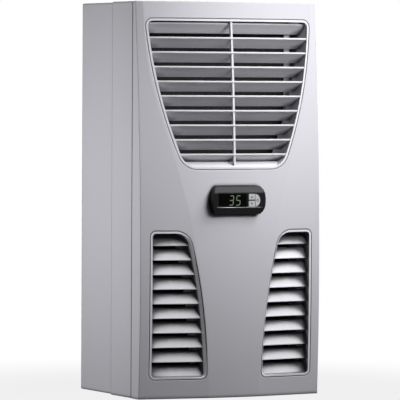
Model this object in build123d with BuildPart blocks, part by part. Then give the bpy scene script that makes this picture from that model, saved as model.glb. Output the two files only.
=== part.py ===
from build123d import *
import os
from math import asin, cos, degrees, hypot, radians, sin

# Enclosure cooling unit for the wall or door of a switch cabinet.
# A sheet steel body in two steps carries a moulded front hood with three louvred
# grilles and a small panel controller.
# Millimetres, Z up, front along minus Y, origin in the middle of the footprint.

os.makedirs("parts", exist_ok=True)

# Body
width = 280.0
height = 550.0
rear_depth = 100.0
middle_depth = 66.0
housing_step = 1.0
sheet = 1.5
housing_corner = 2.0

# Front hood: a shield with a bulge in both directions between two sloping wings
side_strip = 8.5
wing_drop = 16.0
shield_radius = 700.0
brow_radius = 3700.0
apex_height = 168.0
hood_wall = 3.0
shield_foot_width = 80.0
brow_margin = 9.0
# Share of the height, and share of the way from the foot width to the brow width
crease_curve = [
    (0.0, 0.0),
    (0.147, 0.033),
    (0.336, 0.180),
    (0.476, 0.346),
    (0.582, 0.524),
    (0.752, 0.838),
    (0.876, 0.968),
    (1.0, 1.0),
]

# Grilles
top_margin = 27.0
foot_margin = 30.0
lower_grille_height = 199.0
control_band = 92.0
upper_side_margin = 15.0
upper_foot_width = 150.0
upper_side_bulge = 9.5
upper_top_corner = 7.0
upper_foot_corner = 26.0
lower_side_margin = 17.5
lower_crease_gap = 5.0
lower_corner = 5.0
lower_inner_corner = 22.0
lip_width = 4.0
groove_width = 1.0
groove_depth = 1.4
grille_sink = 8.0
louvre_pitch = 20.2
louvre_thickness = 2.2
outlet_first = 1.8
outlet_first_recess = 5.5
outlet_depth = 20.0
outlet_drop = 13.0
outlet_recess = 0.6
inlet_nose = 0.8
inlet_depth = 9.5
inlet_rise = 14.0
inlet_recess = 4.5
inlet_outer_recess = 7.0
inlet_bevel = 5.0
inlet_bevel_angle = 33.0
sill_rise = 7.0
sill_depth = 14.0
rib_width = 3.0
rib_recess = 1.8
rib_depth = 4.0
seam_gap = 1.4
seam_cut = 0.7

# Controller
controller_width = 82.0
controller_height = 39.0
controller_rise = 11.5
controller_seat = 1.8
controller_bow = 3.0
controller_corner = 4.0
upper_bevel = 9.0
upper_bevel_fall = 6.0
lower_bevel = 8.5
lower_bevel_fall = 4.0
case_width = 70.0
case_height = 28.0
case_depth = 36.0
cutout_gap = 0.5
window_width = 44.0
window_height = 19.0
window_offset = -11.0
window_thickness = 2.0
keypad_width = 17.6
keypad_height = 17.6
keypad_offset = 22.8
key_thickness = 4.0
key_proud = 0.8
key_travel = 0.8
key_gap = 0.35
key_slot = 1.8
key_split = 9.6

# Rear side
panel_inset = 3.0
seal_width = 10.0
inlet_radius = 62.0
inlet_top_margin = 120.0
guard_flange = 8.0
guard_thickness = 1.6
guard_wire = 2.4
inlet_bars = 9
outlet_side_margin = 45.0
outlet_height = 76.0
outlet_centre = 100.0
outlet_bars = 6
fixing_side_margin = 25.0
fixing_end_margin = 30.0
fixing_bore = 2.5
fixing_clearance = 0.5
fixing_nut_size = 11.0
fixing_nut_height = 9.0
evaporator_side_margin = 35.0
evaporator_height = 220.0
evaporator_depth = 38.0
evaporator_centre = 190.0

# Condenser behind the upper grille
condenser_side_margin = 27.0
condenser_end_margin = 6.0
condenser_depth = 34.0
condenser_gap = 12.0
end_plate = 1.5
end_flange = 7.0

# Layout that follows from the sizes above
half_width = width / 2
brow_drop = (height - apex_height) ** 2 / (2 * brow_radius)
hood_depth = side_strip + wing_drop + brow_drop
lower_foot = foot_margin
lower_top = lower_foot + lower_grille_height
upper_foot = lower_top + control_band
upper_top = height - top_margin
control_z = (lower_top + upper_foot) / 2
control_back = (control_z - apex_height) ** 2 / (2 * brow_radius)
control_front = rear_depth + middle_depth + hood_depth - control_back + controller_rise
overall_depth = control_front + key_proud
back_y = overall_depth / 2
seam_one_y = back_y - rear_depth
seam_two_y = seam_one_y - middle_depth
apex_y = seam_two_y - hood_depth
grille_back_y = seam_two_y + grille_sink
control_y = back_y - control_front
seat_y = apex_y + control_back + controller_seat
reach = 2 * hood_depth + grille_sink
inlet_height = height - inlet_top_margin
outlet_width = width - 2 * outlet_side_margin
fixing_spacing_x = width - 2 * fixing_side_margin
fixing_spacing_z = height - 2 * fixing_end_margin
evaporator_width = width - 2 * evaporator_side_margin
condenser_width = width - 2 * condenser_side_margin
condenser_height = upper_top - upper_foot - 2 * condenser_end_margin


def front_plane(y):
    """Upright plane at the given depth, seen from the front."""
    return Plane.XZ.offset(-y)


def crease_half(z):
    """Half width of the shield at a height, as a smooth curve through the table."""
    t = min(max(z / height, 0.0), 1.0)
    i = 0
    while i < len(crease_curve) - 2 and t > crease_curve[i + 1][0]:
        i += 1
    t0, v0 = crease_curve[i]
    t1, v1 = crease_curve[i + 1]
    tp, vp = crease_curve[max(i - 1, 0)]
    tn, vn = crease_curve[min(i + 2, len(crease_curve) - 1)]
    m0 = (v1 - vp) / (t1 - tp)
    m1 = (vn - v0) / (tn - t0)
    h = t1 - t0
    u = (t - t0) / h
    v = (
        v0 * (1 + 2 * u) * (1 - u) ** 2
        + m0 * h * u * (1 - u) ** 2
        + v1 * u * u * (3 - 2 * u)
        + m1 * h * u * u * (u - 1)
    )
    foot = shield_foot_width / 2
    return foot + (half_width - brow_margin - foot) * v


def brow_y(z):
    """Depth of the front line of the shield at a height."""
    return apex_y + (z - apex_height) ** 2 / (2 * brow_radius)


def shield_y(x, z):
    """Depth of the shield at a point of the front view."""
    return brow_y(z) + x * x / (2 * shield_radius)


def wing_y(x, z):
    """Depth of the wing between the shield and the side of the hood."""
    inner = crease_half(z)
    inner_y = shield_y(inner, z)
    outer_y = brow_y(z) + wing_drop
    return inner_y + (outer_y - inner_y) * (abs(x) - inner) / (half_width - inner)


def hood_section(z, inset):
    """Plan section of the hood at a height, with every front face set back by an inset."""
    half = half_width - inset
    crease = crease_half(z)
    side_y = brow_y(z) + wing_drop + inset
    crease_y = shield_y(crease, z) + inset
    with BuildSketch(Plane.XY.offset(z)) as section:
        with BuildLine():
            Polyline(
                (-crease, crease_y),
                (-half, side_y),
                (-half, grille_back_y),
                (half, grille_back_y),
                (half, side_y),
                (crease, crease_y),
            )
            ThreePointArc((crease, crease_y), (0, brow_y(z) + inset), (-crease, crease_y))
        make_face()
    return section.sketch


# Outer form of the hood, and the same form set back to the floor of the grooves
with BuildPart() as hood_form:
    loft([hood_section(share * height, 0) for share, _ in crease_curve])

with BuildPart() as hood_floor:
    loft([hood_section(share * height, groove_depth) for share, _ in crease_curve])

# Inside of the hood
with BuildPart() as hood_cavity:
    clear_height = height - 2 * hood_wall
    loft([hood_section(hood_wall + share * clear_height, hood_wall) for share, _ in crease_curve])

# Outline of the upper opening: wide at the brow, narrow over the controller
upper_half = half_width - upper_side_margin
upper_mid_half = (upper_half + upper_foot_width / 2) / 2 + upper_side_bulge
with BuildSketch() as upper_opening:
    with BuildLine():
        Line((-upper_half, upper_top), (upper_half, upper_top))
        ThreePointArc(
            (upper_half, upper_top),
            (upper_mid_half, (upper_top + upper_foot) / 2),
            (upper_foot_width / 2, upper_foot),
        )
        Line((upper_foot_width / 2, upper_foot), (-upper_foot_width / 2, upper_foot))
        ThreePointArc(
            (-upper_foot_width / 2, upper_foot),
            (-upper_mid_half, (upper_top + upper_foot) / 2),
            (-upper_half, upper_top),
        )
    make_face()
    fillet(upper_opening.vertices().group_by(Axis.Y)[-1], radius=upper_top_corner)
    fillet(upper_opening.vertices().group_by(Axis.Y)[0], radius=upper_foot_corner)

# Outline of the lower left opening: its inner side keeps beside the crease of the shield
lower_outer = half_width - lower_side_margin
lower_mid = (lower_foot + lower_top) / 2
lower_foot_x = crease_half(lower_foot) + lower_crease_gap
lower_mid_x = crease_half(lower_mid) + lower_crease_gap
lower_top_x = crease_half(lower_top) + lower_crease_gap + lip_width
with BuildSketch() as lower_opening:
    with BuildLine():
        Polyline(
            (-lower_foot_x, lower_foot),
            (-lower_outer, lower_foot),
            (-lower_outer, lower_top),
            (-lower_top_x, lower_top),
        )
        ThreePointArc(
            (-lower_top_x, lower_top), (-lower_mid_x, lower_mid), (-lower_foot_x, lower_foot)
        )
    make_face()
    inner_top = lower_opening.vertices().group_by(Axis.Y)[-1].sort_by(Axis.X)[-1]
    other_corners = [v for v in lower_opening.vertices() if v != inner_top]
    fillet(other_corners, radius=lower_corner)
    fillet(
        lower_opening.vertices().sort_by_distance((-lower_top_x, lower_top))[0],
        radius=lower_inner_corner,
    )

# Outline of the controller: bowed sides and cut corners
bezel_half = controller_width / 2
bezel_high = controller_height / 2
bezel_side = bezel_half - controller_bow
with BuildSketch() as bezel_outline:
    with BuildLine():
        Line(
            (-bezel_side + controller_corner, control_z + bezel_high),
            (bezel_side - controller_corner, control_z + bezel_high),
        )
        Line(
            (bezel_side - controller_corner, control_z + bezel_high),
            (bezel_side, control_z + bezel_high - controller_corner),
        )
        ThreePointArc(
            (bezel_side, control_z + bezel_high - controller_corner),
            (bezel_half, control_z),
            (bezel_side, control_z - bezel_high + controller_corner),
        )
        Line(
            (bezel_side, control_z - bezel_high + controller_corner),
            (bezel_side - controller_corner, control_z - bezel_high),
        )
        Line(
            (bezel_side - controller_corner, control_z - bezel_high),
            (-bezel_side + controller_corner, control_z - bezel_high),
        )
        Line(
            (-bezel_side + controller_corner, control_z - bezel_high),
            (-bezel_side, control_z - bezel_high + controller_corner),
        )
        ThreePointArc(
            (-bezel_side, control_z - bezel_high + controller_corner),
            (-bezel_half, control_z),
            (-bezel_side, control_z + bezel_high - controller_corner),
        )
        Line(
            (-bezel_side, control_z + bezel_high - controller_corner),
            (-bezel_side + controller_corner, control_z + bezel_high),
        )
    make_face()

# Front hood: a moulded shell with three openings, a flat seat and a cut-out
with BuildPart() as front_hood:
    add(hood_form.part)
    add(hood_cavity.part, mode=Mode.SUBTRACT)
    with BuildSketch(front_plane(grille_back_y)):
        with Locations((0, height / 2)):
            Rectangle(2 * width, 2 * height)
    extrude(amount=grille_sink, mode=Mode.SUBTRACT)
    with BuildSketch(front_plane(seam_two_y)):
        with Locations((0, height / 2)):
            Rectangle(2 * width, 2 * height)
            Rectangle(width - 2 * seam_cut, height - 2 * seam_cut, mode=Mode.SUBTRACT)
    extrude(amount=seam_gap, mode=Mode.SUBTRACT)
    with BuildSketch(front_plane(grille_back_y)):
        add(upper_opening.sketch_local)
        offset(amount=lip_width)
    extrude(amount=reach, mode=Mode.SUBTRACT)
    with BuildSketch(front_plane(grille_back_y)):
        add(lower_opening.sketch_local)
        offset(amount=lip_width)
        mirror(about=Plane.YZ)
    extrude(amount=reach, mode=Mode.SUBTRACT)
    with BuildSketch(front_plane(seat_y)):
        add(bezel_outline.sketch_local)
        offset(amount=cutout_gap)
    extrude(amount=reach, mode=Mode.SUBTRACT)
    with BuildSketch(front_plane(grille_back_y)):
        with Locations((0, control_z)):
            Rectangle(case_width + 2 * cutout_gap, case_height + 2 * cutout_gap)
    extrude(amount=reach, mode=Mode.SUBTRACT)
front_hood.part.label = "front_hood"
export_step(front_hood.part, "parts/front_hood.step")

# Upper grille: a rim flush with the hood, louvres bent along the shield, one rib
outlet_axis_y = apex_y + shield_radius
outlet_turn = degrees(asin((upper_half + 2 * lip_width) / shield_radius))
outlet_start = radians(outlet_turn)
louvre_plane = Plane(
    origin=(0, outlet_axis_y, 0),
    x_dir=(-sin(outlet_start), -cos(outlet_start), 0),
    z_dir=(-cos(outlet_start), sin(outlet_start), 0),
)
outlet_axis = Axis((0, outlet_axis_y, 0), (0, 0, 1))
first_row = upper_top - outlet_first
last_row = upper_foot + sill_rise + louvre_thickness
upper_rows = int((first_row - last_row) / louvre_pitch) + 1
with BuildPart() as upper_louvres:
    for row in range(upper_rows):
        z = first_row - row * louvre_pitch
        front = outlet_axis_y - brow_y(z) - outlet_recess
        start = outlet_first_recess if row == 0 else 0
        with BuildSketch(louvre_plane):
            with BuildLine():
                Polyline(
                    (front - start, z),
                    (front - start, z - louvre_thickness),
                    (front - outlet_depth, z - louvre_thickness - outlet_drop),
                    (front - outlet_depth, z - outlet_drop),
                    close=True,
                )
            make_face()
        revolve(axis=outlet_axis, revolution_arc=2 * outlet_turn)
    # Sill that closes the foot of the opening
    sill_front = outlet_axis_y - brow_y(upper_foot) - outlet_recess
    with BuildSketch(louvre_plane):
        with BuildLine():
            Polyline(
                (sill_front, upper_foot - lip_width),
                (sill_front, upper_foot + outlet_recess),
                (sill_front - sill_depth, upper_foot + sill_rise),
                (sill_front - sill_depth, upper_foot - lip_width),
                close=True,
            )
        make_face()
    revolve(axis=outlet_axis, revolution_arc=2 * outlet_turn)
    with BuildSketch(front_plane(grille_back_y)):
        add(upper_opening.sketch_local)
        offset(amount=lip_width / 2)
    extrude(amount=reach, mode=Mode.INTERSECT)

# Upright rib a little behind the front edges of the louvres
rib_line = [upper_foot - lip_width / 2, (upper_foot + upper_top) / 2, upper_top + lip_width / 2]
with BuildPart() as upper_rib:
    with BuildSketch(Plane.YZ.offset(-rib_width / 2)):
        with BuildLine():
            front_line = ThreePointArc(*[(brow_y(z) + rib_recess, z) for z in rib_line])
            back_line = ThreePointArc(
                *[(brow_y(z) + rib_recess + rib_depth, z) for z in rib_line]
            )
            Line(front_line @ 0, back_line @ 0)
            Line(front_line @ 1, back_line @ 1)
        make_face()
    extrude(amount=rib_width)

with BuildPart() as upper_seat:
    with BuildSketch(front_plane(grille_back_y)):
        add(upper_opening.sketch_local)
        offset(amount=lip_width)
    extrude(amount=reach)
    add(hood_floor.part, mode=Mode.INTERSECT)

with BuildPart() as upper_grille:
    with BuildSketch(front_plane(grille_back_y)):
        add(upper_opening.sketch_local)
        offset(amount=lip_width - groove_width)
    extrude(amount=reach)
    add(hood_form.part, mode=Mode.INTERSECT)
    add(upper_seat.part)
    with BuildSketch(front_plane(grille_back_y)):
        add(upper_opening.sketch_local)
    extrude(amount=reach, mode=Mode.SUBTRACT)
    add(upper_louvres.part)
    add(upper_rib.part)
upper_grille.part.label = "upper_grille"
export_step(upper_grille.part, "parts/upper_grille.step")

# Lower grilles: straight louvres that lean back from the shield to the side and rise inward,
# the lowest one filled down to the lip as a sill
lower_rows = int((lower_grille_height - inlet_rise) / louvre_pitch) + 1
with BuildPart() as lower_louvres:
    for row in range(lower_rows):
        z = lower_foot + row * louvre_pitch
        near_x = -crease_half(z)
        near_y = wing_y(near_x, z) + inlet_recess
        far_x = -lower_outer - lip_width
        far_y = wing_y(far_x, z) + inlet_outer_recess
        run = hypot(near_x - far_x, near_y - far_y)
        along_x = (near_x - far_x) / run
        along_y = (near_y - far_y) / run
        row_plane = Plane(
            origin=(far_x, far_y, z),
            x_dir=(-along_y, along_x, 0),
            z_dir=(along_x, along_y, 0),
        )
        foot = -lip_width if row == 0 else 0
        foot_back = -lip_width if row == 0 else inlet_rise
        with BuildSketch(row_plane):
            with BuildLine():
                Polyline(
                    (0, foot),
                    (0, inlet_nose),
                    (inlet_depth, louvre_thickness + inlet_rise),
                    (inlet_depth, foot_back),
                    close=True,
                )
            make_face()
        extrude(amount=run)
    with BuildSketch(front_plane(grille_back_y)):
        add(lower_opening.sketch_local)
        offset(amount=lip_width / 2)
    extrude(amount=reach, mode=Mode.INTERSECT)

with BuildPart() as lower_seat:
    with BuildSketch(front_plane(grille_back_y)):
        add(lower_opening.sketch_local)
        offset(amount=lip_width)
    extrude(amount=reach)
    add(hood_floor.part, mode=Mode.INTERSECT)

# The side of the opening next to the shield is bevelled
bevel_y = wing_y(lower_mid_x, lower_mid) + inlet_bevel
with BuildPart() as lower_left_grille:
    with BuildSketch(front_plane(grille_back_y)):
        add(lower_opening.sketch_local)
        offset(amount=lip_width - groove_width)
    extrude(amount=reach)
    add(hood_form.part, mode=Mode.INTERSECT)
    add(lower_seat.part)
    with BuildSketch(front_plane(grille_back_y)):
        add(lower_opening.sketch_local)
    extrude(amount=reach, mode=Mode.SUBTRACT)
    with BuildSketch(front_plane(bevel_y)):
        add(lower_opening.sketch_local)
    extrude(amount=hood_depth, taper=-inlet_bevel_angle, mode=Mode.SUBTRACT)
    add(lower_louvres.part)
lower_left_grille.part.label = "lower_left_grille"
export_step(lower_left_grille.part, "parts/lower_left_grille.step")

with BuildPart() as lower_right_grille:
    mirror(lower_left_grille.part, about=Plane.YZ)
lower_right_grille.part.label = "lower_right_grille"
export_step(lower_right_grille.part, "parts/lower_right_grille.step")

# Controller bezel: a bevelled profile drawn across and trimmed to the front outline
face_top = control_z + bezel_high - upper_bevel
face_foot = control_z - bezel_high + lower_bevel
face_z = (face_top + face_foot) / 2
with BuildPart() as controller_bezel:
    with BuildSketch(Plane.YZ.offset(-controller_width)):
        with BuildLine():
            Polyline(
                (seat_y, control_z - bezel_high),
                (control_y + lower_bevel_fall, control_z - bezel_high),
                (control_y, face_foot),
                (control_y, face_top),
                (control_y + upper_bevel_fall, control_z + bezel_high),
                (seat_y, control_z + bezel_high),
                close=True,
            )
        make_face()
    extrude(amount=2 * controller_width)
    with BuildSketch(front_plane(seat_y)):
        add(bezel_outline.sketch_local)
    extrude(amount=reach, mode=Mode.INTERSECT)
    with BuildSketch(front_plane(control_y)):
        with Locations((window_offset, face_z)):
            Rectangle(window_width, window_height)
    extrude(amount=-window_thickness, mode=Mode.SUBTRACT)
    with BuildSketch(front_plane(control_y)) as key_well:
        with Locations((keypad_offset, face_z)):
            Rectangle(keypad_width, keypad_height)
        fillet(
            key_well.vertices().group_by(Axis.X)[-1],
            radius=0.49 * keypad_height,
        )
        offset(amount=key_gap)
    extrude(amount=-(key_thickness + key_travel + key_gap - key_proud), mode=Mode.SUBTRACT)
controller_bezel.part.label = "controller_bezel"
export_step(controller_bezel.part, "parts/controller_bezel.step")

with BuildPart() as display_window:
    with BuildSketch(front_plane(control_y)):
        with Locations((window_offset, face_z)):
            Rectangle(window_width, window_height)
    extrude(amount=-window_thickness)
display_window.part.label = "display_window"
export_step(display_window.part, "parts/display_window.step")

with BuildPart() as controller_case:
    with BuildSketch(front_plane(seat_y)):
        with Locations((0, control_z)):
            Rectangle(case_width, case_height)
    extrude(amount=-case_depth)
controller_case.part.label = "controller_case"
export_step(controller_case.part, "parts/controller_case.step")

# Keys: one rounded pad, parted into an up key, a down key and a half-moon set key
key_left = keypad_offset - keypad_width / 2
split_x = key_left + key_split
with BuildSketch() as keypad:
    with Locations((keypad_offset, face_z)):
        Rectangle(keypad_width, keypad_height)
    fillet(keypad.vertices().group_by(Axis.X)[-1], radius=0.49 * keypad_height)

with BuildPart() as up_key:
    with BuildSketch(front_plane(control_y - key_proud)):
        add(keypad.sketch_local)
        with Locations((split_x, face_z + key_slot / 2)):
            Rectangle(
                keypad_width,
                keypad_height,
                align=(Align.MAX, Align.MIN),
                mode=Mode.INTERSECT,
            )
    extrude(amount=-key_thickness)
up_key.part.label = "up_key"
export_step(up_key.part, "parts/up_key.step")

with BuildPart() as down_key:
    with BuildSketch(front_plane(control_y - key_proud)):
        add(keypad.sketch_local)
        with Locations((split_x, face_z - key_slot / 2)):
            Rectangle(
                keypad_width,
                keypad_height,
                align=(Align.MAX, Align.MAX),
                mode=Mode.INTERSECT,
            )
    extrude(amount=-key_thickness)
down_key.part.label = "down_key"
export_step(down_key.part, "parts/down_key.step")

with BuildPart() as set_key:
    with BuildSketch(front_plane(control_y - key_proud)):
        add(keypad.sketch_local)
        with Locations((split_x + 2 * key_gap, face_z)):
            Rectangle(
                keypad_width,
                2 * keypad_height,
                align=(Align.MIN, Align.CENTER),
                mode=Mode.INTERSECT,
            )
    extrude(amount=-key_thickness)
set_key.part.label = "set_key"
export_step(set_key.part, "parts/set_key.step")

# Middle housing: a folded sleeve as wide as the hood, with a narrow gap to the rear housing
with BuildPart() as middle_housing:
    with BuildSketch(front_plane(seam_one_y - seam_cut)):
        with Locations((0, height / 2)):
            RectangleRounded(width, height, housing_corner)
            Rectangle(width - 2 * sheet, height - 2 * sheet, mode=Mode.SUBTRACT)
    extrude(amount=middle_depth - seam_cut)
middle_housing.part.label = "middle_housing"
export_step(middle_housing.part, "parts/middle_housing.step")

# Partition between the warm and the cold air, set inside the middle housing
with BuildPart() as partition_plate:
    with BuildSketch(front_plane(seam_one_y)):
        with Locations((0, height / 2)):
            Rectangle(width - 2 * sheet, height - 2 * sheet)
    extrude(amount=sheet)
partition_plate.part.label = "partition_plate"
export_step(partition_plate.part, "parts/partition_plate.step")

# Rear housing: a sleeve one step smaller than the middle one
rear_width = width - 2 * housing_step
rear_height = height - 2 * housing_step
rear_clear_width = rear_width - 2 * sheet
rear_clear_height = rear_height - 2 * sheet
with BuildPart() as rear_housing:
    with BuildSketch(front_plane(back_y)):
        with Locations((0, height / 2)):
            RectangleRounded(rear_width, rear_height, housing_corner)
            Rectangle(rear_clear_width, rear_clear_height, mode=Mode.SUBTRACT)
    extrude(amount=rear_depth)
rear_housing.part.label = "rear_housing"
export_step(rear_housing.part, "parts/rear_housing.step")

# Back panel, set in by the thickness of the seal that lies on its edge
panel_y = back_y - panel_inset
with BuildPart() as back_panel:
    with BuildSketch(front_plane(panel_y)):
        with Locations((0, height / 2)):
            Rectangle(rear_clear_width, rear_clear_height)
        with Locations((0, inlet_height)):
            Circle(inlet_radius, mode=Mode.SUBTRACT)
        with Locations((0, outlet_centre)):
            RectangleRounded(outlet_width, outlet_height, 4, mode=Mode.SUBTRACT)
        with Locations((0, height / 2)):
            with GridLocations(fixing_spacing_x, fixing_spacing_z, 2, 2):
                Circle(fixing_bore + fixing_clearance, mode=Mode.SUBTRACT)
    extrude(amount=sheet)
back_panel.part.label = "back_panel"
export_step(back_panel.part, "parts/back_panel.step")

with BuildPart() as sealing_strip:
    with BuildSketch(front_plane(back_y)):
        with Locations((0, height / 2)):
            Rectangle(rear_clear_width, rear_clear_height)
            Rectangle(
                rear_clear_width - 2 * seal_width,
                rear_clear_height - 2 * seal_width,
                mode=Mode.SUBTRACT,
            )
    extrude(amount=panel_inset)
sealing_strip.part.label = "sealing_strip"
export_step(sealing_strip.part, "parts/sealing_strip.step")

# Round guard over the warm air inlet: a flange with level bars and one upright bar
inlet_bar_pitch = 2 * inlet_radius / (inlet_bars + 1)
with BuildPart() as inlet_guard:
    with BuildSketch(front_plane(panel_y + guard_thickness)):
        with Locations((0, inlet_height)):
            with GridLocations(0, inlet_bar_pitch, 1, inlet_bars):
                Rectangle(2 * inlet_radius, guard_wire)
            Rectangle(2 * guard_wire, 2 * inlet_radius)
            Circle(inlet_radius + guard_flange / 2, mode=Mode.INTERSECT)
    extrude(amount=guard_thickness)
    with BuildSketch(front_plane(panel_y + guard_thickness)):
        with Locations((0, inlet_height)):
            Circle(inlet_radius + guard_flange)
            Circle(inlet_radius, mode=Mode.SUBTRACT)
    extrude(amount=guard_thickness)
inlet_guard.part.label = "inlet_guard"
export_step(inlet_guard.part, "parts/inlet_guard.step")

# Barred grille over the cold air outlet
bar_pitch = outlet_height / (outlet_bars + 1)
with BuildPart() as outlet_grille:
    with BuildSketch(front_plane(panel_y + guard_thickness)):
        with Locations((0, outlet_centre)):
            RectangleRounded(
                outlet_width + 2 * guard_flange, outlet_height + 2 * guard_flange, guard_flange
            )
            Rectangle(outlet_width, outlet_height, mode=Mode.SUBTRACT)
            with GridLocations(0, bar_pitch, 1, outlet_bars):
                Rectangle(outlet_width + guard_flange, guard_wire)
            Rectangle(2 * guard_wire, outlet_height + guard_flange)
    extrude(amount=guard_thickness)
outlet_grille.part.label = "outlet_grille"
export_step(outlet_grille.part, "parts/outlet_grille.step")

# Threaded fixing nuts behind the holes in the corners of the back panel
for name, side, end in [
    ("fixing_nut_top_left", -1, 1),
    ("fixing_nut_top_right", 1, 1),
    ("fixing_nut_foot_left", -1, -1),
    ("fixing_nut_foot_right", 1, -1),
]:
    nut_x = side * fixing_spacing_x / 2
    nut_z = height / 2 + end * fixing_spacing_z / 2
    with BuildPart() as fixing_nut:
        with BuildSketch(front_plane(panel_y - sheet)):
            with Locations((nut_x, nut_z)):
                RegularPolygon(fixing_nut_size / 2, 6, major_radius=False)
                Circle(fixing_bore, mode=Mode.SUBTRACT)
        extrude(amount=fixing_nut_height)
    fixing_nut.part.label = name
    export_step(fixing_nut.part, "parts/" + name + ".step")

# Evaporator block against the partition, behind the outlet
with BuildPart() as evaporator_coil:
    with BuildSketch(front_plane(seam_one_y + evaporator_depth)):
        with Locations((0, evaporator_centre)):
            Rectangle(evaporator_width, evaporator_height)
    extrude(amount=evaporator_depth)
evaporator_coil.part.label = "evaporator_coil"
export_step(evaporator_coil.part, "parts/evaporator_coil.step")

# Condenser block held off the partition by its two end plates
plate_y = seam_one_y - sheet
condenser_z = (upper_top + upper_foot) / 2
with BuildPart() as condenser_coil:
    with BuildSketch(front_plane(plate_y - condenser_gap)):
        with Locations((0, condenser_z)):
            Rectangle(condenser_width, condenser_height)
    extrude(amount=condenser_depth)
condenser_coil.part.label = "condenser_coil"
export_step(condenser_coil.part, "parts/condenser_coil.step")

plate_depth = condenser_gap + condenser_depth + end_plate
with BuildPart() as condenser_end_right:
    with BuildSketch(Plane.XY.offset(condenser_z - condenser_height / 2)):
        with BuildLine():
            Polyline(
                (condenser_width / 2, plate_y),
                (condenser_width / 2 + end_plate, plate_y),
                (condenser_width / 2 + end_plate, plate_y - plate_depth),
                (condenser_width / 2 - end_flange, plate_y - plate_depth),
                (condenser_width / 2 - end_flange, plate_y - plate_depth + end_plate),
                (condenser_width / 2, plate_y - plate_depth + end_plate),
                close=True,
            )
        make_face()
    extrude(amount=condenser_height)
condenser_end_right.part.label = "condenser_end_right"
export_step(condenser_end_right.part, "parts/condenser_end_right.step")

with BuildPart() as condenser_end_left:
    mirror(condenser_end_right.part, about=Plane.YZ)
condenser_end_left.part.label = "condenser_end_left"
export_step(condenser_end_left.part, "parts/condenser_end_left.step")
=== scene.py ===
# %% [markdown]
# # Dressing an enclosure cooling unit
# The unit is a sheet-steel body with a moulded front hood, three louvred grilles and a small
# panel controller. Its shapes come from a solid model, which could be imported and placed by hand.
# Here it is loaded as a fixed frame instead, so that every solid keeps its real place and size.
# The lesson gives each piece its finish and adds the small things that a solid model leaves out.

import math

import bmesh
import bpy
from mathutils import Matrix, Vector


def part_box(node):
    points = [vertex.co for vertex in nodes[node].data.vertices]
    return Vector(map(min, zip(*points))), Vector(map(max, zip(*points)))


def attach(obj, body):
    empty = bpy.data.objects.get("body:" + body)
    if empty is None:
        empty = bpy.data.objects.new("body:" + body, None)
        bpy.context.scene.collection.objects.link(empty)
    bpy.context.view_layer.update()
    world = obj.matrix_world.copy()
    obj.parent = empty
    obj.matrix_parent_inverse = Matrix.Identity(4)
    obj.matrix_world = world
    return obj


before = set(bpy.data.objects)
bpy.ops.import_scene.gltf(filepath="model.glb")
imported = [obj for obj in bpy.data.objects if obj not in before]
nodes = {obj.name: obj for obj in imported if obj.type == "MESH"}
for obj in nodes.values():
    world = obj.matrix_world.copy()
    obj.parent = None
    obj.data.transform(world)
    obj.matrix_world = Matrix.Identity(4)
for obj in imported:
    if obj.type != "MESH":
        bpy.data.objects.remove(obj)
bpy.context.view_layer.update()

# %% [markdown]
# ## Node helpers
# A material is a graph of nodes. It could be drawn by hand in the shader editor, but a script
# gives the same graph on every run. Written out in full, each node takes several lines, so short
# helpers do what repeats: one adds any node with its values, two add a sum or a mix of colours.


# %% Helpers for nodes
def add_node(tree, kind, values=None, **settings):
    """Adds a node, sets its properties, then sets or links its inputs."""
    node = tree.nodes.new("ShaderNode" + kind)
    for name, value in settings.items():
        setattr(node, name, value)
    for name, value in (values or {}).items():
        if isinstance(value, bpy.types.NodeSocket):
            tree.links.new(value, node.inputs[name])
        else:
            node.inputs[name].default_value = value
    return node


def add_maths(tree, operation, *values):
    """Adds a Math node and returns its output."""
    return add_node(tree, "Math", dict(enumerate(values)), operation=operation).outputs[0]


def mix_colours(tree, share, first, second):
    """Mixes two colours by a share and returns the result. A colour is a socket or three parts."""
    ends = [end if isinstance(end, bpy.types.NodeSocket) else (*end, 1.0) for end in (first, second)]
    values = {0: share, 6: ends[0], 7: ends[1]}
    return add_node(tree, "Mix", values, data_type="RGBA").outputs[2]


print("node helpers ready")

# %% [markdown]
# ## Materials and groups
# Every finish here starts from one Principled shader, because its sockets stand for things that a
# maker can name: colour, roughness, metal. What several finishes share could be copied from one to
# the next. A node group with named sockets is built once instead, and takes its own values in each.


# %% Helpers for materials and groups
def start_material(name, **sockets):
    """Starts a material with a Principled shader and plain values on its sockets."""
    material = bpy.data.materials.new(name)
    material.use_nodes = True
    tree = material.node_tree
    tree.nodes.clear()
    shader = add_node(tree, "BsdfPrincipled", sockets)
    output = add_node(tree, "OutputMaterial")
    tree.links.new(shader.outputs["BSDF"], output.inputs["Surface"])
    return material, tree, shader


def start_group(name, inputs, outputs):
    """Starts a shader node group with named sockets."""
    group = bpy.data.node_groups.new(name, "ShaderNodeTree")
    for label, default in inputs.items():
        socket = group.interface.new_socket(
            name=label, in_out="INPUT", socket_type="NodeSocketFloat"
        )
        socket.default_value = default
    for label, kind in outputs.items():
        group.interface.new_socket(name=label, in_out="OUTPUT", socket_type=kind)
    return group, group.nodes.new("NodeGroupInput"), group.nodes.new("NodeGroupOutput")


def place_group(tree, group, **values):
    """Places a node group in a material with its own values."""
    node = tree.nodes.new("ShaderNodeGroup")
    node.node_tree = group
    for label, value in values.items():
        node.inputs[label.replace("_", " ")].default_value = value
    return node


print("material helpers ready")

# %% [markdown]
# ## Rounded edges
# Moulded plastic and folded sheet never end in a knife edge. A Bevel modifier could round the mesh,
# but the solids stay as they are. The Bevel node only bends the normal near an edge, so that each
# edge catches a thin line of light. Comparing the bent normal with the true one gives an edge mask.

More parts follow.
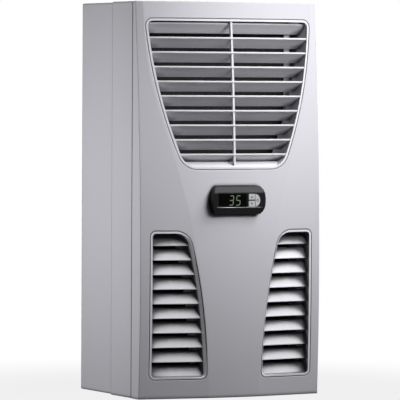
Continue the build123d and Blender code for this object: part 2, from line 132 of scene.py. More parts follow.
# %% Group: rounded edge
rounded_edge, inside, outside = start_group(
    "rounded_edge",
    {"Radius": 0.001},
    {"Normal": "NodeSocketVector", "Edge": "NodeSocketFloat"},
)
bent = add_node(rounded_edge, "Bevel", {"Radius": inside.outputs["Radius"]}, samples=6)
true_normal = add_node(rounded_edge, "NewGeometry")
match = add_node(
    rounded_edge, "VectorMath", {0: bent.outputs[0], 1: true_normal.outputs["Normal"]},
    operation="DOT_PRODUCT",
)
edge_mask = add_node(
    rounded_edge, "MapRange",
    {"Value": match.outputs["Value"], "From Min": 0.995, "From Max": 0.80},
)
rounded_edge.links.new(bent.outputs[0], outside.inputs["Normal"])
rounded_edge.links.new(edge_mask.outputs["Result"], outside.inputs["Edge"])
print("group:", rounded_edge.name)

# %% [markdown]
# ## Skin grain
# Powder coat and moulded plastic share a fine orange-peel skin, and on a large panel the tone
# drifts a little over a hand's width. A photographed texture could show both, but it would need a
# picture file and an unwrapped mesh. Two noises, one fine and one broad, need neither.

# %% Group: skin grain
skin_grain, inside, outside = start_group(
    "skin_grain",
    {"Grain Scale": 1400.0, "Drift Scale": 9.0},
    {"Height": "NodeSocketFloat", "Drift": "NodeSocketFloat", "Speckle": "NodeSocketFloat"},
)
place = add_node(skin_grain, "TexCoord")
fine = add_node(
    skin_grain, "TexNoise",
    {"Vector": place.outputs["Object"], "Scale": inside.outputs["Grain Scale"], "Detail": 2.0},
)
broad = add_node(
    skin_grain, "TexNoise",
    {"Vector": place.outputs["Object"], "Scale": inside.outputs["Drift Scale"], "Detail": 3.0},
)
speck = add_node(
    skin_grain, "MapRange",
    {"Value": fine.outputs[0], "From Min": 0.35, "From Max": 0.75},
)
skin_grain.links.new(fine.outputs[0], outside.inputs["Height"])
skin_grain.links.new(broad.outputs[0], outside.inputs["Drift"])
skin_grain.links.new(speck.outputs["Result"], outside.inputs["Speckle"])
print("group:", skin_grain.name)

# %% [markdown]
# ## Settled dust
# Dust lies on what faces up, such as the top of the body. It could be painted by hand, which takes
# long and fits one mesh only. The upward part of the normal, broken up by noise, gives a mask that
# is right on any piece.

# %% Group: settled dust
settled_dust, inside, outside = start_group(
    "settled_dust", {"Amount": 0.3}, {"Dust": "NodeSocketFloat"}
)
facing = add_node(settled_dust, "NewGeometry")
split = add_node(settled_dust, "SeparateXYZ", {0: facing.outputs["Normal"]})
upward = add_node(
    settled_dust, "MapRange",
    {"Value": split.outputs["Z"], "From Min": 0.25, "From Max": 1.0},
)
place = add_node(settled_dust, "TexCoord")
patches = add_node(
    settled_dust, "TexNoise",
    {"Vector": place.outputs["Object"], "Scale": 60.0, "Detail": 4.0},
)
lying = add_maths(settled_dust, "MULTIPLY", upward.outputs["Result"], patches.outputs[0])
dust = add_maths(settled_dust, "MULTIPLY", lying, inside.outputs["Amount"])
settled_dust.links.new(dust, outside.inputs["Dust"])
print("group:", settled_dust.name)

# %% [markdown]
# ## Painted shade in recesses
# Deep between the louvres and in the seams little light reaches, and this group paints that shade
# into the colour: painted shade. A mask by height or depth would have to be fitted to each piece. The
# Ambient Occlusion node measures how closed in a place is, and a range turns that into a mask.
# The last input takes the painted shade off what faces up, so that only the faces turned down keep it.

# %% Group: recess shade, painted shade in recesses
recess_shade, inside, outside = start_group(
    "recess_shade",
    {"Reach": 0.012, "Open": 0.80, "Closed": 0.20, "Wiped": 0.0},
    {"Recess": "NodeSocketFloat"},
)
# painted shade: the mask grows the more closed in a place is
hollow = add_node(
    recess_shade, "AmbientOcclusion", {"Distance": inside.outputs["Reach"]}, samples=16
)
recess = add_node(
    recess_shade, "MapRange",
    {
        "Value": hollow.outputs["AO"],
        "From Min": inside.outputs["Open"],
        "From Max": inside.outputs["Closed"],
    },
)
facing = add_node(recess_shade, "NewGeometry")
split = add_node(recess_shade, "SeparateXYZ", {0: facing.outputs["Normal"]})
upper = add_node(recess_shade, "MapRange", {"Value": split.outputs["Z"], "From Max": 0.5})
spared = add_maths(recess_shade, "MULTIPLY", upper.outputs["Result"], inside.outputs["Wiped"])
kept = add_maths(recess_shade, "SUBTRACT", 1.0, spared)
mask = add_maths(recess_shade, "MULTIPLY", kept, recess.outputs["Result"])
recess_shade.links.new(mask, outside.inputs["Recess"])
print("group:", recess_shade.name)

# %% [markdown]
# ## Coated and moulded finishes
# The body is powder-coated steel and the hood is moulded in the same light grey. Each could have a
# graph of its own, but they differ only in values, so one function makes them all: a tone that
# drifts, dust on what faces up, painted shade in the recesses, and the orange-peel skin as bump over
# the rounded normal. Along the folds of the steel the edges are darkened as painted shade, which shows
# as a seam.

# %% Function for the grey skins
DRIFT = 0.03
DUST_AMOUNT = 0.10
DUST_COLOUR = (0.66, 0.64, 0.62)


def vary_roughness(tree, shader, value, low, high):
    """Lets the roughness follow a value between two limits."""
    limits = add_node(tree, "MapRange", {"Value": value, "To Min": low, "To Max": high})
    tree.links.new(limits.outputs["Result"], shader.inputs["Roughness"])


def lay_skin(tree, shader, skin, edge, strength, depth):
    """Lays the height of the skin as bump over the rounded normal."""
    height, normal = skin.outputs["Height"], edge.outputs["Normal"]
    values = {"Strength": strength, "Distance": depth, "Height": height, "Normal": normal}
    bump = add_node(tree, "Bump", values)
    tree.links.new(bump.outputs["Normal"], shader.inputs["Normal"])


def grey_skin(name, tone, shade_colour, roughness, grain, depth, radius, edge_shade=0.0, **closeness):
    """A satin grey coat or moulding with drift, soft edges, a fine skin and painted shade."""
    material, tree, shader = start_material(name, **{"Specular IOR Level": 0.2})
    skin = place_group(tree, skin_grain, Grain_Scale=grain)
    edge = place_group(tree, rounded_edge, Radius=radius)
    settled = place_group(tree, settled_dust, Amount=DUST_AMOUNT)
    painted_shade = place_group(tree, recess_shade, **closeness)
    shade = [part - DRIFT for part in tone]
    colour = mix_colours(tree, skin.outputs["Drift"], shade, tone)
    colour = mix_colours(tree, settled.outputs["Dust"], colour, DUST_COLOUR)
    # painted shade: the colour goes darker in recesses, by the mask of the recess group
    colour = mix_colours(tree, painted_shade.outputs["Recess"], colour, shade_colour)
    # painted shade along the edges: the edge mask pulls the colour towards the dark colour, which shows
    # as a seam
    if edge_shade:
        edge_shading = add_maths(tree, "MULTIPLY", edge.outputs["Edge"], edge_shade)
        colour = mix_colours(tree, edge_shading, colour, shade_colour)
    tree.links.new(colour, shader.inputs["Base Color"])
    vary_roughness(tree, shader, skin.outputs["Speckle"], roughness - 0.05, roughness + 0.05)
    lay_skin(tree, shader, skin, edge, 0.15, depth)
    return material


print("grey skins drift by", DRIFT)

# %% [markdown]
# ## The four greys
# The hood and the body are nearly one grey. The louvres are given lighter greys, painted light for the
# light that their noses catch, and painted shade darkens them deep between one louvre and the next.
# One grey for all of them would lose that contrast, so the outlet at the top and the inlets at the
# bottom have their own lighter tone, shade colour and reach.

# %% Make the grey skins
# painted shade in the grooves and seams of the hood and along the folds of the body
SEAM_SHADE = (0.16, 0.16, 0.18)
hood_skin = grey_skin(
    "hood_moulding", (0.612, 0.607, 0.652), SEAM_SHADE, 0.50, 1500.0, 0.0002, 0.0022,
    Reach=0.006, Open=0.94, Closed=0.50,
)
body_coat = grey_skin(
    "body_powder_coat", (0.608, 0.603, 0.650), SEAM_SHADE, 0.50, 1100.0, 0.0003, 0.0036,
    edge_shade=0.7, Reach=0.006, Open=0.94, Closed=0.50,
)
# painted light and shade: a lighter tone than the hood, with painted shade on the faces turned down
outlet_skin = grey_skin(
    "outlet_moulding", (0.756, 0.750, 0.790), (0.04, 0.04, 0.05), 0.48, 1500.0, 0.0002, 0.0008,
    Reach=0.022, Open=0.54, Closed=0.24, Wiped=1.0,
)
# painted light and shade: the lightest tone, darkened deep between the louvres as painted shade
inlet_skin = grey_skin(
    "inlet_moulding", (0.830, 0.824, 0.862), (0.11, 0.11, 0.12), 0.48, 1500.0, 0.0002, 0.0008,
    Reach=0.030, Open=0.83, Closed=0.64,
)
print("grey skins:", hood_skin.name, body_coat.name, outlet_skin.name, inlet_skin.name)

# %% [markdown]
# ## Dark plastics
# The controller has a satin black bezel with a polished window. The guards and the foam seal of the
# rear side are dark too. The plate behind the inlets is near black as painted shade, for the dark
# inside of the unit. A plain black would look like a hole, so each gets two close tones and a skin.
# They differ in gloss and depth only, and a table of rows feeds one function.

# %% Make the dark plastics
DARK_ROWS = [
    # name, tone, shade, roughness, specular, edge radius, skin depth
    ("bezel_black", (0.005, 0.005, 0.006), (0.003, 0.003, 0.004), 0.30, 0.12, 0.0030, 0.0001),
    ("window_black", (0.0015, 0.0020, 0.0015), (0.0010, 0.0014, 0.0010), 0.14, 0.02, 0.0003, 0.0001),
    ("case_black", (0.020, 0.020, 0.021), (0.015, 0.015, 0.016), 0.60, 0.40, 0.0008, 0.0001),
    ("guard_black", (0.022, 0.022, 0.024), (0.016, 0.016, 0.018), 0.45, 0.50, 0.0005, 0.0001),
    ("seal_foam", (0.022, 0.022, 0.022), (0.012, 0.012, 0.012), 0.90, 0.20, 0.0010, 0.0008),
    # painted shade: the plate behind the inlets is near black for the dark inside of the unit
    ("inner_shade_black", (0.010, 0.010, 0.011), (0.006, 0.006, 0.007), 0.70, 0.10, 0.0005, 0.0001),
]


def dark_plastic(name, tone, shade, roughness, specular, radius, depth):
    """A dark moulded plastic with soft edges and a faint skin."""
    material, tree, shader = start_material(name, **{"Specular IOR Level": specular})
    skin = place_group(tree, skin_grain, Grain_Scale=2200.0, Drift_Scale=60.0)
    edge = place_group(tree, rounded_edge, Radius=radius)
    colour = mix_colours(tree, skin.outputs["Drift"], shade, tone)
    tree.links.new(colour, shader.inputs["Base Color"])
    vary_roughness(tree, shader, skin.outputs["Speckle"], roughness * 0.85, roughness * 1.15)
    lay_skin(tree, shader, skin, edge, 0.08, depth)
    return material


dark = {row[0]: dark_plastic(*row) for row in DARK_ROWS}
print("dark plastics:", list(dark))

# %% [markdown]
# ## Galvanised steel
# The panel of the rear side is bare galvanised sheet. Zinc freezes in flat crystals, so the sheet
# shows a mosaic of greys that differ in tone and gloss. Noise would blur them into clouds. A
# Voronoi texture has flat cells with sharp borders and gives each crystal its own value.


# %% Function for the zinc finishes
def zinc_steel(name, tone, shade, crystal, radius):
    """Zinc-coated steel: crystals of slightly different grey and gloss."""
    material, tree, shader = start_material(name, Metallic=1.0)
    place = add_node(tree, "TexCoord")
    cells = add_node(
        tree, "TexVoronoi",
        {"Vector": place.outputs["Object"], "Scale": crystal},
    )
    value = add_node(tree, "SeparateColor", {0: cells.outputs["Color"]})
    colour = mix_colours(tree, value.outputs[0], shade, tone)
    tree.links.new(colour, shader.inputs["Base Color"])
    vary_roughness(tree, shader, value.outputs[1], 0.34, 0.52)
    edge = place_group(tree, rounded_edge, Radius=radius)
    tree.links.new(edge.outputs["Normal"], shader.inputs["Normal"])
    return material


zinc_sheet = zinc_steel("zinc_sheet", (0.66, 0.67, 0.68), (0.52, 0.53, 0.54), 140.0, 0.0004)
zinc_nut = zinc_steel("zinc_nut", (0.62, 0.60, 0.55), (0.54, 0.52, 0.48), 900.0, 0.0004)
print("zinc finishes:", zinc_sheet.name, zinc_nut.name)

# %% [markdown]
# ## Fin packs
# The coils are packs of hundreds of thin fins, coloured near black as painted shade for the dark
# inside of the unit. Each fin could be a thin plate, at a great cost in faces, yet through the louvres
# only fine upright lines show. A Wave texture draws the lines, and its valleys are darker, as painted
# shade between the fins, and rougher and lower.

# %% Fin material
fin_pack, tree, shader = start_material("fin_pack", **{"Specular IOR Level": 0.2})
place = add_node(tree, "TexCoord")
lines = add_node(
    tree, "TexWave",
    {"Vector": place.outputs["Object"], "Scale": 160.0, "Distortion": 0.0},
    bands_direction="X",
).outputs["Fac"]
# painted shade: near-black fins with darker valleys between them
colour = mix_colours(tree, lines, (0.002, 0.002, 0.002), (0.030, 0.030, 0.032))
tree.links.new(colour, shader.inputs["Base Color"])
vary_roughness(tree, shader, lines, 0.7, 0.4)
bump = add_node(tree, "Bump", {"Strength": 0.6, "Distance": 0.0008, "Height": lines})
tree.links.new(bump.outputs["Normal"], shader.inputs["Normal"])
print("fin pack:", fin_pack.name)

# %% [markdown]
# ## Finishes on the frame
# Each solid of the unit is one material on the real object, so each keeps its shape and takes one
# finish. Materials could be assigned piece by piece. A table from finish to pieces is shorter, and
# it shows at once which pieces are still bare: the three keys, which come later.

# %% Assign the finishes
finishes = {
    hood_skin: ["front_hood"],
    outlet_skin: ["upper_grille"],
    inlet_skin: ["lower_left_grille", "lower_right_grille"],
    body_coat: ["rear_housing", "middle_housing"],
    zinc_sheet: ["back_panel", "condenser_end_left", "condenser_end_right"],
    zinc_nut: [name for name in nodes if name.startswith("fixing_nut")],
    fin_pack: ["condenser_coil", "evaporator_coil"],
    dark["inner_shade_black"]: ["partition_plate"],
    dark["seal_foam"]: ["sealing_strip"],
    dark["guard_black"]: ["inlet_guard", "outlet_grille"],
    dark["bezel_black"]: ["controller_bezel"],
    dark["window_black"]: ["display_window"],
    dark["case_black"]: ["controller_case"],
}


def give_finish(name, material):
    """Gives a solid of the frame its one material."""
    nodes[name].data.materials.clear()
    nodes[name].data.materials.append(material)


for material, names in finishes.items():
    for name in names:
        give_finish(name, material)
bare = sorted(set(nodes) - {name for names in finishes.values() for name in names})
print("nodes without a finish:", bare)

# %% [markdown]
# ## Display digits
# The display shows two seven-segment digits in the dark window. A text object would give letters of
# a typeface, which such a display doesn't have. So each segment is drawn as it is: a thin bar with
# pointed ends, and the whole digit leans a little, as on most such displays.

# %% Digit shape
DIGIT_HEIGHT = 0.0128
DIGIT_WIDTH = 0.0056
SEGMENT = 0.0011
SEGMENT_GAP = SEGMENT * 0.12
LEAN = math.tan(math.radians(6.0))


def segment_outline(start, end, half):
    """A bar with pointed ends between two points."""
    along = (end - start).normalized()
    side = Vector((-along.y, along.x)) * half
    tip = along * half
    return [start, start + tip + side, end - tip + side, end, end - tip - side, start + tip - side]


def digit_segments(centre_x, centre_z, lit):
    """Outlines of the lit segments of one digit, in the front view."""
    w, h = DIGIT_WIDTH / 2, DIGIT_HEIGHT / 2
    ends = {
        "a": ((-w, h), (w, h)), "g": ((-w, 0), (w, 0)), "d": ((-w, -h), (w, -h)),
        "f": ((-w, 0), (-w, h)), "b": ((w, 0), (w, h)),
        "e": ((-w, -h), (-w, 0)), "c": ((w, -h), (w, 0)),
    }
    shapes = []
    for name in lit:
        start, end = (Vector(point) for point in ends[name])
        along = (end - start).normalized() * SEGMENT_GAP
        outline = segment_outline(start + along, end - along, SEGMENT / 2)
        shapes.append([(centre_x + p.x + p.y * LEAN, centre_z + p.y) for p in outline])
    return shapes


print("digit height mm:", DIGIT_HEIGHT * 1000)

# %% [markdown]
# ## Digits as flat prisms
# A printed or lit mark has hardly any thickness, but a single sheet of faces would have no inside
# and could flicker against the window. Each outline is therefore drawn twice, a tenth of a
# millimetre apart, and walled round. The result is a thin closed prism that stands on the window.

# %% Build the digits
window_low, window_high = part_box("display_window")
DIGIT_RAISE = 0.0001
# place across the window and lit segments of the 3 and the 5
DIGITS = [(-0.0125, "abgcd"), (-0.0020, "afgcd")]


def piece_from_mesh(name, mesh):
    """Turns a built mesh with its normals outward into an object in the scene."""
    bmesh.ops.recalc_face_normals(mesh, faces=mesh.faces)
    data = bpy.data.meshes.new(name)
    mesh.to_mesh(data)
    mesh.free()
    piece = bpy.data.objects.new(name, data)
    bpy.context.collection.objects.link(piece)
    return piece


def front_prisms(shapes, face_y, thickness):
    """Closed prisms whose outlines are given in the front view, standing on a face."""
    mesh = bmesh.new()
    for outline in shapes:
        near = [mesh.verts.new((x, face_y - thickness, z)) for x, z in outline]
        far = [mesh.verts.new((x, face_y, z)) for x, z in outline]
        mesh.faces.new(near)
        mesh.faces.new(list(reversed(far)))
        for i in range(len(outline)):
            j = (i + 1) % len(outline)
            mesh.faces.new((near[i], far[i], far[j], near[j]))
    return mesh


digit_z = (window_low.z + window_high.z) / 2
shapes = [outline for x, lit in DIGITS for outline in digit_segments(x, digit_z, lit)]
digits = piece_from_mesh("display_digits", front_prisms(shapes, window_low.y, DIGIT_RAISE))
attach(digits, "cooler")
print("lit segments:", len(shapes))

# %% [markdown]
# ## Digit glow
# The lit segments are small green diodes that shine softly through the window. A lamp behind each
# would be hard to aim and slow to render. Emission on the Principled shader makes the faces shine by
# themselves, and a fine noise keeps the green from being one flat colour.

# %% Digit material
GLOW_LOW, GLOW_HIGH = (0.30, 0.40, 0.26), (0.42, 0.52, 0.37)
glow, tree, shader = start_material(
    "digit_glow", Roughness=0.4, **{"Emission Strength": 0.32, "Specular IOR Level": 0.1}
)
place = add_node(tree, "TexCoord")
flicker = add_node(tree, "TexNoise", {"Vector": place.outputs["Object"], "Scale": 900.0})
hue = mix_colours(tree, flicker.outputs[0], GLOW_LOW, GLOW_HIGH)
tree.links.new(hue, shader.inputs["Emission Color"])
tree.links.new(mix_colours(tree, 0.85, hue, (0.01, 0.02, 0.01)), shader.inputs["Base Color"])
digits.data.materials.append(glow)
print("digit glow:", glow.name)

# %% [markdown]
# ## Printed arrows
# The keys carry faint printed marks. An arrow could be a raised mesh, but a print has no height, so
# it is a mask worked out from the place on the key: a triangle is where the distance from the
# middle line and the height add up to less than a limit. The sign of Point turns the arrow over, so
# one group serves the up key and the down key.

# %% Group: printed arrow
printed_arrow, inside, outside = start_group(
    "printed_arrow",
    {"Centre X": 0.0, "Centre Z": 0.0, "Half Width": 0.002, "Height": 0.003, "Point": 1.0},
    {"Mask": "NodeSocketFloat"},
)


def from_centre(group, inside):
    """The place on a key, across and up from the centre of its mark."""
    place = add_node(group, "TexCoord")
    split = add_node(group, "SeparateXYZ", {0: place.outputs["Object"]})
    across = add_maths(group, "SUBTRACT", split.outputs["X"], inside.outputs["Centre X"])
    up = add_maths(group, "SUBTRACT", split.outputs["Z"], inside.outputs["Centre Z"])
    return across, up


across, up = from_centre(printed_arrow, inside)
across = add_maths(printed_arrow, "ABSOLUTE", across)
across = add_maths(printed_arrow, "DIVIDE", across, inside.outputs["Half Width"])
up = add_maths(printed_arrow, "MULTIPLY", up, inside.outputs["Point"])
up = add_maths(printed_arrow, "DIVIDE", up, inside.outputs["Height"])
slope = add_maths(printed_arrow, "ADD", across, up)
under = add_maths(printed_arrow, "LESS_THAN", slope, 0.5)
over = add_maths(printed_arrow, "GREATER_THAN", up, -0.5)
mask = add_maths(printed_arrow, "MULTIPLY", under, over)
printed_arrow.links.new(mask, outside.inputs["Mask"])
print("group:", printed_arrow.name)

# %% [markdown]
# ## Printed ring
# The third key has a small ring. A picture of a ring would need a file. The distance from the
# centre of the key, less the radius of the ring, is close to nothing along the printed line, so a
# single comparison draws it at any size.

# %% Group: printed ring
printed_ring, inside, outside = start_group(
    "printed_ring",
    {"Centre X": 0.0, "Centre Z": 0.0, "Radius": 0.0015, "Line": 0.0005},
    {"Mask": "NodeSocketFloat"},
)
across, up = from_centre(printed_ring, inside)
across = add_maths(printed_ring, "MULTIPLY", across, across)
up = add_maths(printed_ring, "MULTIPLY", up, up)
away = add_maths(printed_ring, "SQRT", add_maths(printed_ring, "ADD", across, up))
away = add_maths(printed_ring, "SUBTRACT", away, inside.outputs["Radius"])
away = add_maths(printed_ring, "ABSOLUTE", away)
mask = add_maths(printed_ring, "LESS_THAN", away, inside.outputs["Line"])
printed_ring.links.new(mask, outside.inputs["Mask"])
print("group:", printed_ring.name)

# %% [markdown]
# ## Key rubber
# The keys are light grey rubber with soft edges, printed in dark ink. One material with three masks
# could serve all of them, but then each key would work out marks that it doesn't carry. A function
# makes one material for each key from its own mark and the middle of its own box.

# %% Key finishes
INK = (0.10, 0.10, 0.11)


def key_rubber(name, group, **values):
    """Light grey rubber with one printed mark."""
    material, tree, shader = start_material(name, **{"Specular IOR Level": 0.3})
    skin = place_group(tree, skin_grain, Grain_Scale=2200.0, Drift_Scale=200.0)
    edge = place_group(tree, rounded_edge, Radius=0.0007)
    mark = place_group(tree, group, **values)
    colour = mix_colours(tree, skin.outputs["Drift"], (0.44, 0.44, 0.47), (0.56, 0.56, 0.59))
    colour = mix_colours(tree, mark.outputs["Mask"], colour, INK)
    tree.links.new(colour, shader.inputs["Base Color"])
    vary_roughness(tree, shader, skin.outputs["Speckle"], 0.50, 0.62)
    tree.links.new(edge.outputs["Normal"], shader.inputs["Normal"])
    return material


marks = {
    "up_key": (printed_arrow, {"Point": 1.0}),
    "down_key": (printed_arrow, {"Point": -1.0}),
    "set_key": (printed_ring, {}),
}
for name, (group, values) in marks.items():
    low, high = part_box(name)
    centre = {"Centre_X": (low.x + high.x) / 2, "Centre_Z": (low.z + high.z) / 2}
    give_finish(name, key_rubber(name + "_rubber", group, **values, **centre))
    print("key:", name, [round(value * 1000, 1) for value in centre.values()])

# %% [markdown]
# ## Bezel bead
# A thin bright line runs along the lower edge of the display face, a highlight on its rounded edge.
# It is drawn as a bead, a painted highlight. A painted line would not catch the light as it does, and
# a plain cylinder would end in two blunt discs. So it is a strip of round rings that shrink towards
# both ends, half sunk in the face, so that it runs out into the bezel.

# %% Bead along the display
BEAD_RADIUS = 0.00035
BEAD_TIP = 0.05
BEAD_HALF = 0.0365
BEAD_HALF_STEPS = 12
BEAD_SIDES = 8
BEAD_BELOW = 0.0002


def join_rings(mesh, rings):
    """Walls between rings of equally many points, with a lid on the first and the last."""
    sides = len(rings[0])
    for ring, following in zip(rings, rings[1:]):
        for side in range(sides):
            after = (side + 1) % sides
            mesh.faces.new((ring[side], ring[after], following[after], following[side]))
    mesh.faces.new(rings[0])
    mesh.faces.new(rings[-1])


bezel_low, bezel_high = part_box("controller_bezel")
mesh = bmesh.new()
rings = []
for step in range(2 * BEAD_HALF_STEPS + 1):
    t = step / BEAD_HALF_STEPS - 1
    radius = BEAD_RADIUS * max(1 - t ** 8, BEAD_TIP)
    centre = Vector((BEAD_HALF * t, bezel_low.y, window_low.z - BEAD_BELOW))
    angles = [2 * math.pi * side / BEAD_SIDES for side in range(BEAD_SIDES)]
    offsets = [Vector((0, math.cos(angle), math.sin(angle))) * radius for angle in angles]
    rings.append([mesh.verts.new(centre + offset) for offset in offsets])
join_rings(mesh, rings)
# painted highlight: a bright bead where the rounded edge of the face catches the light
bead = piece_from_mesh("bezel_highlight_bead", mesh)
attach(bead, "cooler")
bead_highlight_metal = zinc_steel("bead_highlight_metal", (0.26, 0.27, 0.28), (0.10, 0.11, 0.11), 90.0, 0.0001)
bead.data.materials.append(bead_highlight_metal)
print("bead faces:", len(bead.data.polygons))

# %% [markdown]
# ## Screw heads
# The guard, the outlet grille and the panel of the rear side are held by cross-recess screws. The
# recess could be cut with a Boolean modifier, which leaves ragged faces on a dome this small. A
# polar grid of points does it more cleanly: the points that fall inside the cross are pushed in.

# %% Shape of a screw head
SCREW_RADIUS = 0.0031
SCREW_HEIGHT = 0.0012
SCREW_RINGS = 8
SCREW_SIDES = 32
# the cross, as shares of the radius and of the height
CROSS_LENGTH, CROSS_WIDTH, CROSS_DEPTH = 0.6, 0.14, 0.55


def head_rise(across, up, share):
    """Height of the dome at a place on the head, given as shares of its radius."""
    arm, width = max(abs(across), abs(up)), min(abs(across), abs(up))
    recess = CROSS_DEPTH if arm < CROSS_LENGTH and width < CROSS_WIDTH else 0.0
    return SCREW_HEIGHT * (1 - 0.6 * share ** 3 - recess)


def add_screw(mesh, x, face_y, z):
    """One domed head with a cross recess, facing to the rear."""
    angles = [2 * math.pi * (side + 0.5) / SCREW_SIDES for side in range(SCREW_SIDES)]
    rings = []
    for ring in range(1, SCREW_RINGS + 1):
        share = ring / SCREW_RINGS
        places = [(share * math.cos(angle), share * math.sin(angle)) for angle in angles]
        rings.append([
            mesh.verts.new(
                (x + SCREW_RADIUS * across, face_y + head_rise(across, up, share), z + SCREW_RADIUS * up)
            )
            for across, up in places
        ])
    rings.append([mesh.verts.new((point.co.x, face_y, point.co.z)) for point in rings[-1]])
    join_rings(mesh, rings)


print("screw head mm:", SCREW_RADIUS * 2000, "by", SCREW_HEIGHT * 1000)

# %% [markdown]
# ## Rear screws
# Screws stand where a maker would put them: four on the flange of the guard, four in the corners of
# the outlet grille and three down each side of the panel. Their places could be typed in as numbers.
# They are measured from the boxes of the pieces that they hold, so that they stay on them.

# %% Screws on the rear side
FLANGE_INSET = 0.004
CORNER_INSET = 0.005
PANEL_INSET = 0.016
PANEL_SCREWS = (0.15, 0.275, 0.40)
panel_low, panel_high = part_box("back_panel")
guard_low, guard_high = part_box("inlet_guard")
outlet_low, outlet_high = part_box("outlet_grille")
guard_z = (guard_low.z + guard_high.z) / 2
guard_reach = (guard_high.z - guard_z - FLANGE_INSET) * math.sqrt(0.5)
places = []
for side in (-1, 1):
    for end in (-1, 1):
        places.append((side * guard_reach, guard_high.y, guard_z + end * guard_reach))
        corner_z = outlet_high.z - CORNER_INSET if end > 0 else outlet_low.z + CORNER_INSET
        places.append((side * (outlet_high.x - CORNER_INSET), outlet_high.y, corner_z))
    for z in PANEL_SCREWS:
        places.append((side * (panel_high.x - PANEL_INSET), panel_high.y, z))
mesh = bmesh.new()
for x, face_y, z in places:
    add_screw(mesh, x, face_y, z)
screws = piece_from_mesh("rear_screws", mesh)
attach(screws, "cooler")
screws.data.materials.append(zinc_nut)
print("screws:", len(places), "faces:", len(screws.data.polygons))

# %% [markdown]
# ## Floor
# The unit stands on a pale floor, as in a product picture on white. A white floor that is lit to
# white would throw much light up under the unit. So the floor is dark to the lamps and white to the
# eye: the Light Path node tells a camera ray, or one by a mirror or glass, from a ray that only
# carries light. Near the unit the white gives way a little to the lit part, which keeps the shadow.

# %% Pale floor
FLOOR_HALF = 9
# distances in metres between which the floor turns quite white, and its share of white before that
SHADE_NEAR, SHADE_FAR, NEAR_WHITE = 0.25, 0.75, 0.86


def seen_directly(tree):
    """One for rays from the camera, also by a mirror or through glass, and otherwise nothing."""
    path = add_node(tree, "LightPath")
    seen = add_maths(tree, "MAXIMUM", path.outputs["Is Camera Ray"], path.outputs["Is Glossy Ray"])
    return add_maths(tree, "MAXIMUM", seen, path.outputs["Is Transmission Ray"])


corners = [(x * FLOOR_HALF, y * FLOOR_HALF, 0) for x, y in ((-1, -1), (1, -1), (1, 1), (-1, 1))]
floor_data = bpy.data.meshes.new("floor")
floor_data.from_pydata(corners, [], [(0, 1, 2, 3)])
floor = bpy.data.objects.new("floor", floor_data)
bpy.context.collection.objects.link(floor)
pale = bpy.data.materials.new("pale_floor")
pale.use_nodes = True
tree = pale.node_tree
tree.nodes.clear()
lamp_part = add_node(tree, "BsdfDiffuse", {"Color": (0.08, 0.08, 0.08, 1.0)})
white_part = add_node(tree, "Emission", {"Color": (1, 1, 1, 1), "Strength": 1.0})
spot = add_node(tree, "NewGeometry")
distance = add_node(tree, "VectorMath", {0: spot.outputs["Position"]}, operation="LENGTH")
whiteness = add_node(
    tree, "MapRange",
    {
        "Value": distance.outputs["Value"],
        "From Min": SHADE_NEAR,
        "From Max": SHADE_FAR,
        "To Min": NEAR_WHITE,
    },
    interpolation_type="SMOOTHSTEP",
)
share = add_maths(tree, "MULTIPLY", seen_directly(tree), whiteness.outputs["Result"])
blend = add_node(
    tree, "MixShader", {0: share, 1: lamp_part.outputs[0], 2: white_part.outputs[0]}
)
output = add_node(tree, "OutputMaterial")
tree.links.new(blend.outputs[0], output.inputs["Surface"])
floor_data.materials.append(pale)
print("floor:", floor.name, "half side m:", FLOOR_HALF)

# %% [markdown]
# ## White room
# Behind the unit there is only white paper. A bright world would give that white, but it would also
# wash out the shade between the louvres. So the world is white to the eye, by the same test of rays
# as on the floor, and gives the unit only a trace of cool light.

# %% World
ROOM_STRENGTH = 0.01
PAPER_STRENGTH = 1.0
world = bpy.data.worlds.new("studio")
bpy.context.scene.world = world
world.use_nodes = True
tree = world.node_tree
tree.nodes.clear()
room = add_node(tree, "Background", {"Color": (0.92, 0.92, 1.0, 1.0), "Strength": ROOM_STRENGTH})
paper = add_node(tree, "Background", {"Color": (1, 1, 1, 1), "Strength": PAPER_STRENGTH})
blend = add_node(
    tree, "MixShader", {0: seen_directly(tree), 1: room.outputs[0], 2: paper.outputs[0]}
)
output = add_node(tree, "OutputWorld")
tree.links.new(blend.outputs[0], output.inputs["Surface"])
print("world:", world.name)

# %% [markdown]
# ## Lights
# Three soft lights, as a photographer would set them: a key light high at the right, a weak light in
# front that opens the shield, and one at the left for the side of the body. One large lamp would
# light all louvres alike. Area lights have soft shadows, and a narrower spread, like a grid on a
# studio lamp, keeps the light of the first two on the front.


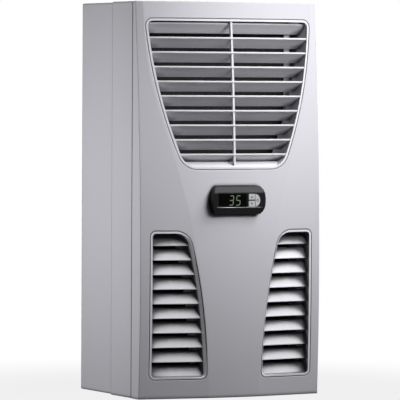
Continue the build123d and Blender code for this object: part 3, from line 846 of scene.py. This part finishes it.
# %% Make the lights
def soft_light(name, place, target, size, watts, spread=180.0):
    """A square soft light that looks at a point, with a grid that narrows its beam."""
    lamp = bpy.data.lights.new(name, "AREA")
    lamp.shape = "RECTANGLE"
    lamp.size = lamp.size_y = size
    lamp.energy = watts
    lamp.spread = math.radians(spread)
    lamp_object = bpy.data.objects.new(name, lamp)
    lamp_object.location = place
    aim = Vector(target) - Vector(place)
    lamp_object.rotation_euler = aim.to_track_quat("-Z", "Y").to_euler()
    lamp_object.visible_camera = False
    bpy.context.collection.objects.link(lamp_object)
    return lamp_object


lights = [
    soft_light("key_light", (0.50, -0.49, 1.07), (0.13, -0.08, 0.21), 0.55, 3.6, 120.0),
    soft_light("front_light", (0.28, -0.76, 0.73), (0.03, -0.08, 0.37), 0.35, 0.94, 70.0),
    soft_light("side_light", (-0.63, 0.06, 0.31), (-0.14, 0.03, 0.28), 0.3, 2.0),
]
print("lights:", [light.name for light in lights])

# %% [markdown]
# ## Camera
# The unit is seen from the left and a little above its middle, through a long lens, so that its
# upright edges stay nearly parallel. A camera can be aimed with a Track To constraint, but that
# loses the slight roll of the picture. Its place and its right and up directions are given instead,
# and the third direction follows from those two.

# %% Make the camera
CAMERA_PLACE = Vector((-2.45444, -4.88263, 0.44220))
CAMERA_RIGHT = Vector((0.893949, -0.448137, 0.005291))
CAMERA_UP = Vector((0.009285, 0.030322, 0.999497))
CAMERA_LENS = 348.37
camera_data = bpy.data.cameras.new("camera")
camera_data.sensor_width = 36.0
camera_data.lens = CAMERA_LENS
camera_data.shift_x = -0.00125
camera_data.shift_y = 0.00125
camera = bpy.data.objects.new("camera", camera_data)
turn = Matrix((CAMERA_RIGHT, CAMERA_UP, CAMERA_RIGHT.cross(CAMERA_UP))).transposed()
camera.matrix_world = Matrix.Translation(CAMERA_PLACE) @ turn.to_4x4()
bpy.context.collection.objects.link(camera)
bpy.context.scene.camera = camera
bpy.context.scene.view_settings.view_transform = "Standard"
print("camera distance m:", round(CAMERA_PLACE.length, 3))
